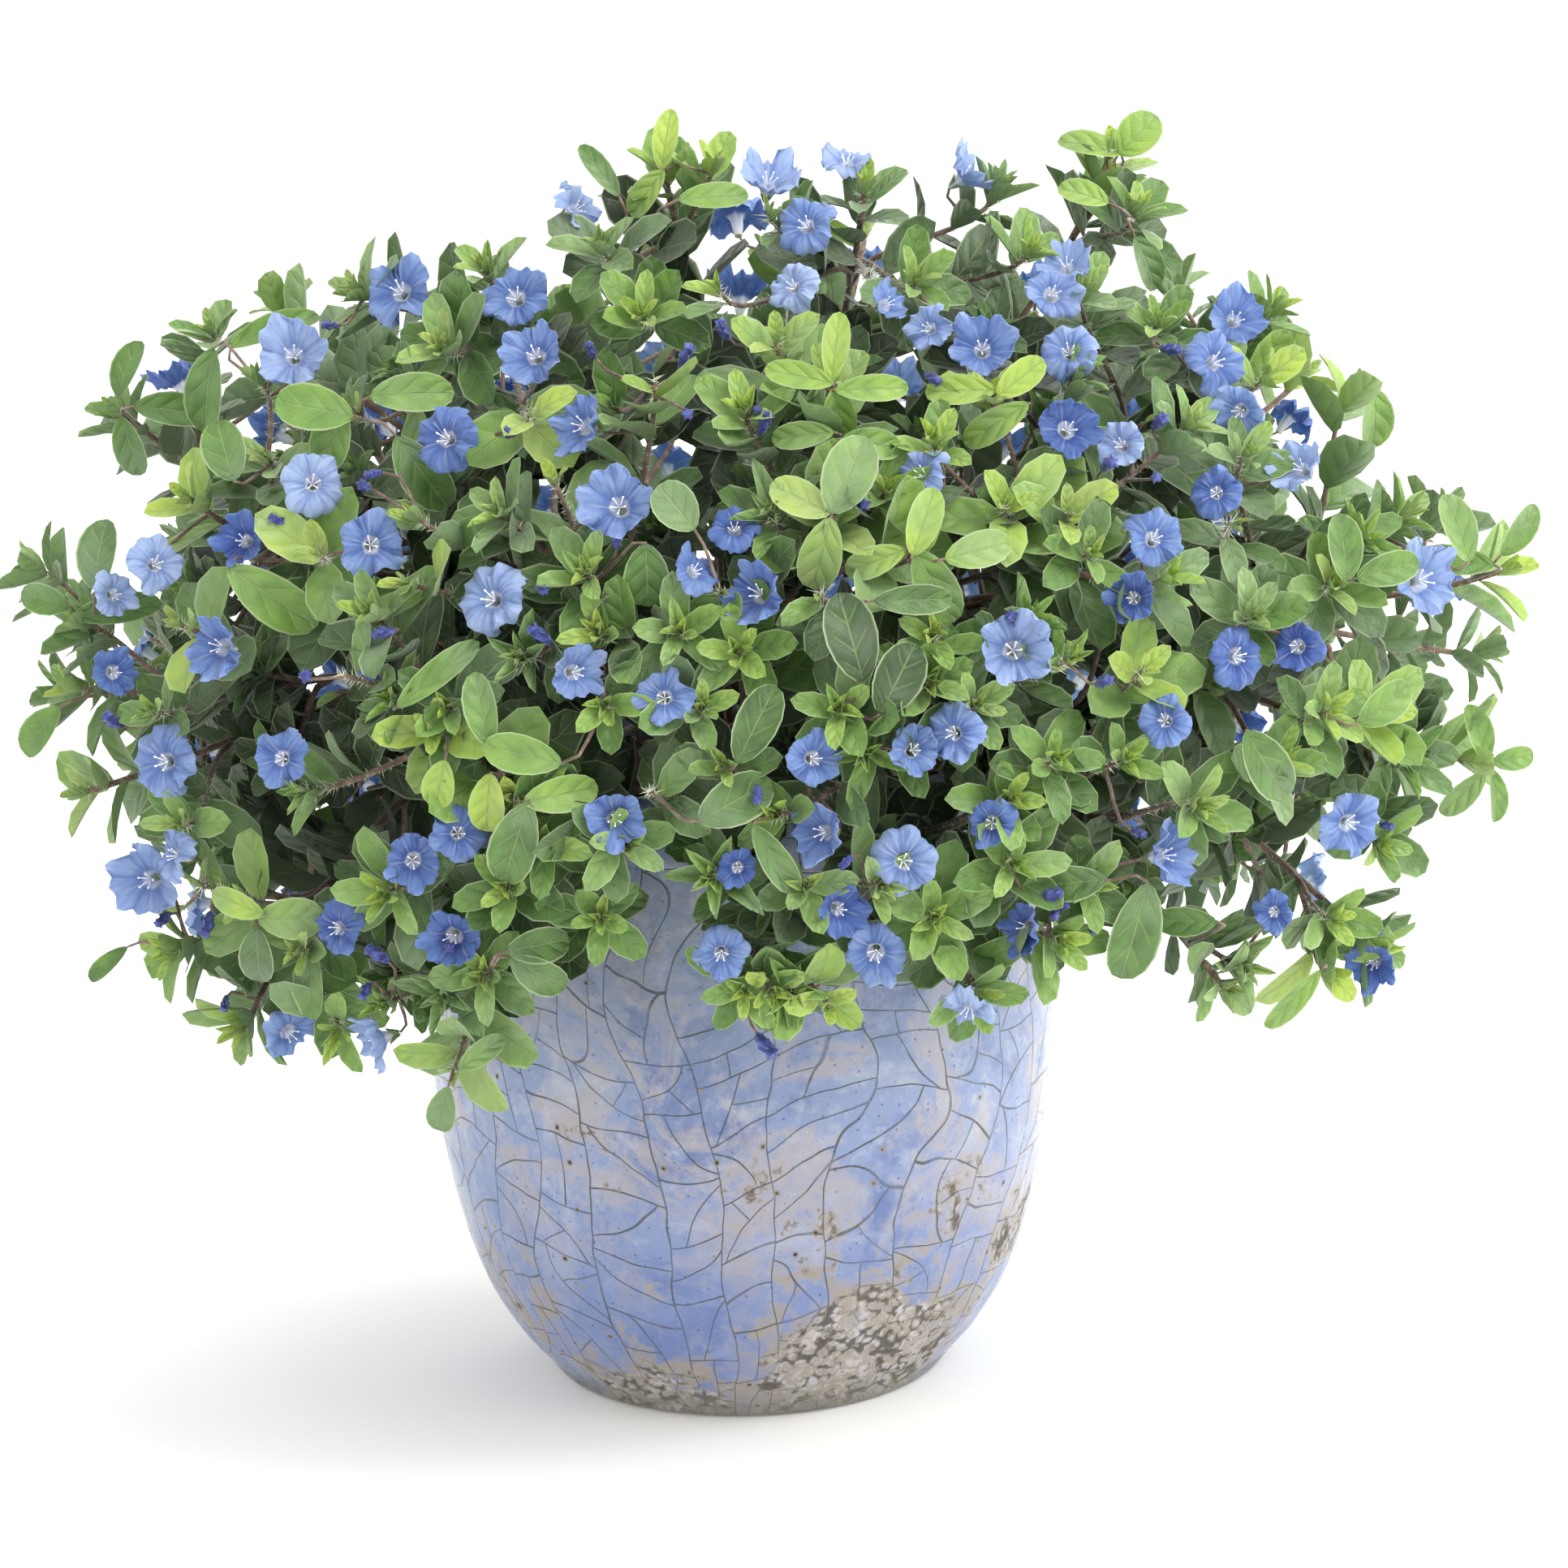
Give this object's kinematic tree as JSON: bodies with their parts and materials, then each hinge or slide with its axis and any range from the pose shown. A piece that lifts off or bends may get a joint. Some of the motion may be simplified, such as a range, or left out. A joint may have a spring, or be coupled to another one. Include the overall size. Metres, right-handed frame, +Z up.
{
  "type": "potted dwarf morning glory",
  "caption": "Round glazed pot of soil with a low trailing plant: leafy branches arch over the rim and carry funnel flowers.",
  "frame": {"origin": "middle of the pot's flat foot, on the ground", "axes": "+Z up along the pot's axis, -Y towards the front of the plant, +X to its right as seen from the front"},
  "size_m": [0.4844, 0.435, 0.4011],
  "materials": {
    "glaze": "glossy crackle glaze",
    "soil": "loose potting mix",
    "roots": "matted roots",
    "bark": "rough bark",
    "stem": "hairy stem",
    "leaf": "softly hairy leaf",
    "petal": "thin satin petal",
    "stamen": "matt",
    "spent_petal": "shrivelled petal",
    "hair": "silvery hairs"
  },
  "bodies": {
    "root": {"branch_01": "leaf", "branch_02": "leaf", "branch_03": "leaf", "branch_04": "leaf", "branch_05": "leaf", "branch_06": "leaf", "branch_07": "leaf", "branch_08": "leaf", "branch_09": "leaf", "branch_10": "leaf", "branch_11": "leaf", "branch_12": "leaf", "branch_13": "leaf", "branch_14": "leaf", "branch_15": "leaf", "branch_16": "leaf", "branch_17": "leaf", "branch_18": "leaf", "branch_19": "leaf", "branch_20": "leaf", "branch_21": "leaf", "branch_22": "leaf", "branch_23": "leaf", "branch_24": "leaf", "branch_25": "leaf", "branch_26": "leaf", "branch_27": "leaf", "branch_28": "leaf", "branch_29": "leaf", "branch_30": "leaf", "branch_31": "leaf", "branch_32": "leaf", "branch_33": "leaf", "branch_34": "leaf", "flower_01": "petal", "flower_02": "petal", "flower_03": "petal", "flower_04": "petal", "flower_05": "petal", "flower_06": "petal", "flower_07": "petal", "flower_08": "petal", "flower_09": "petal", "flower_10": "petal", "flower_11": "petal", "flower_12": "petal", "flower_13": "petal", "flower_14": "petal", "flower_15": "petal", "flower_16": "petal", "flower_17": "petal", "flower_18": "petal", "flower_19": "petal", "flower_20": "petal", "flower_21": "petal", "flower_22": "petal", "pot": "glaze", "potting_soil": "soil", "root_ball": "roots", "woody_crown": "bark"}
  },
  "joints": []
}
